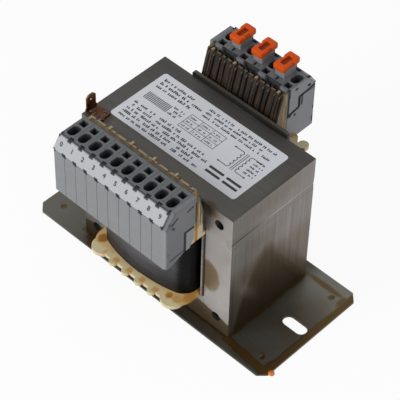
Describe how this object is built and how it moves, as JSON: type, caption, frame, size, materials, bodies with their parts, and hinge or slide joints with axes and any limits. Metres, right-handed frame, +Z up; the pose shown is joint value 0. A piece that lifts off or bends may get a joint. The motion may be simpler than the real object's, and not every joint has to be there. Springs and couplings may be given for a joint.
{
  "type": "transformer",
  "caption": "Laminated-core transformer on a slotted base plate, with a moulded coil former and clamp terminal strips along its long sides.",
  "frame": {"origin": "centre of the base plate's underside, which stands on the mounting surface", "axes": "+X along the base plate, through its two fixing slots; -Y towards the longer terminal strip; +Z up"},
  "size_m": [0.167, 0.1266, 0.1139],
  "materials": {
    "plate_steel": "cold-rolled sheet with brown varnish stains",
    "lamination_steel": "stacked sheet edges under a thin coat of varnish",
    "weld_metal": "weld seam, varnished over",
    "bobbin_plastic": "cream moulded plastic with amber varnish stains",
    "enamelled_copper": "copper wire with a clear brown enamel",
    "insulating_paper": "insulating paper soaked with varnish",
    "tape_film": "black polyester tape, wound in laps",
    "pressboard": "grey insulating board",
    "barrier_board": "dark insulating strip",
    "housing_plastic": "light grey moulded plastic",
    "marker_plastic": "pale grey marker strip with plain numerals",
    "tinned_copper": "tinned strip",
    "spring_steel": "bright spring steel",
    "plug_plastic": "orange moulded plastic",
    "tab_brass": "tarnished sheet metal with brown varnish",
    "label_film": null
  },
  "bodies": {
    "root": {"base_plate": "plate_steel", "core_e": "lamination_steel", "core_i": "lamination_steel", "joint_welds": "weld_metal", "bobbin": "bobbin_plastic", "primary_winding": "enamelled_copper", "interlayer": "insulating_paper", "secondary_winding": "enamelled_copper", "outer_tape": "tape_film", "liner_left": "pressboard", "liner_right": "pressboard", "front_barrier": "barrier_board", "rear_barrier": "barrier_board", "front_end_plate": "housing_plastic", "rear_end_plate": "housing_plastic", "front_marker": "marker_plastic", "rear_marker": "marker_plastic", "front_bars": "tinned_copper", "rear_bars": "tinned_copper", "front_clamps": "spring_steel", "rear_clamps": "spring_steel", "front_leads": "enamelled_copper", "rear_leads": "enamelled_copper", "earth_tab": "tab_brass", "label": "label_film", "front_pole_1": "housing_plastic", "front_pole_2": "housing_plastic", "front_pole_3": "housing_plastic", "front_pole_4": "housing_plastic", "front_pole_5": "housing_plastic", "front_pole_6": "housing_plastic", "front_pole_7": "housing_plastic", "front_pole_8": "housing_plastic", "front_pole_9": "housing_plastic", "front_pole_10": "housing_plastic", "rear_pole_1": "housing_plastic", "rear_pole_2": "housing_plastic", "rear_pole_3": "housing_plastic", "rear_pole_4": "housing_plastic", "rear_bridge_1": "housing_plastic", "rear_bridge_2": "housing_plastic", "rear_bridge_3": "housing_plastic", "bridge_plug_1": "plug_plastic", "bridge_plug_2": "plug_plastic", "bridge_plug_3": "plug_plastic"}
  },
  "joints": []
}
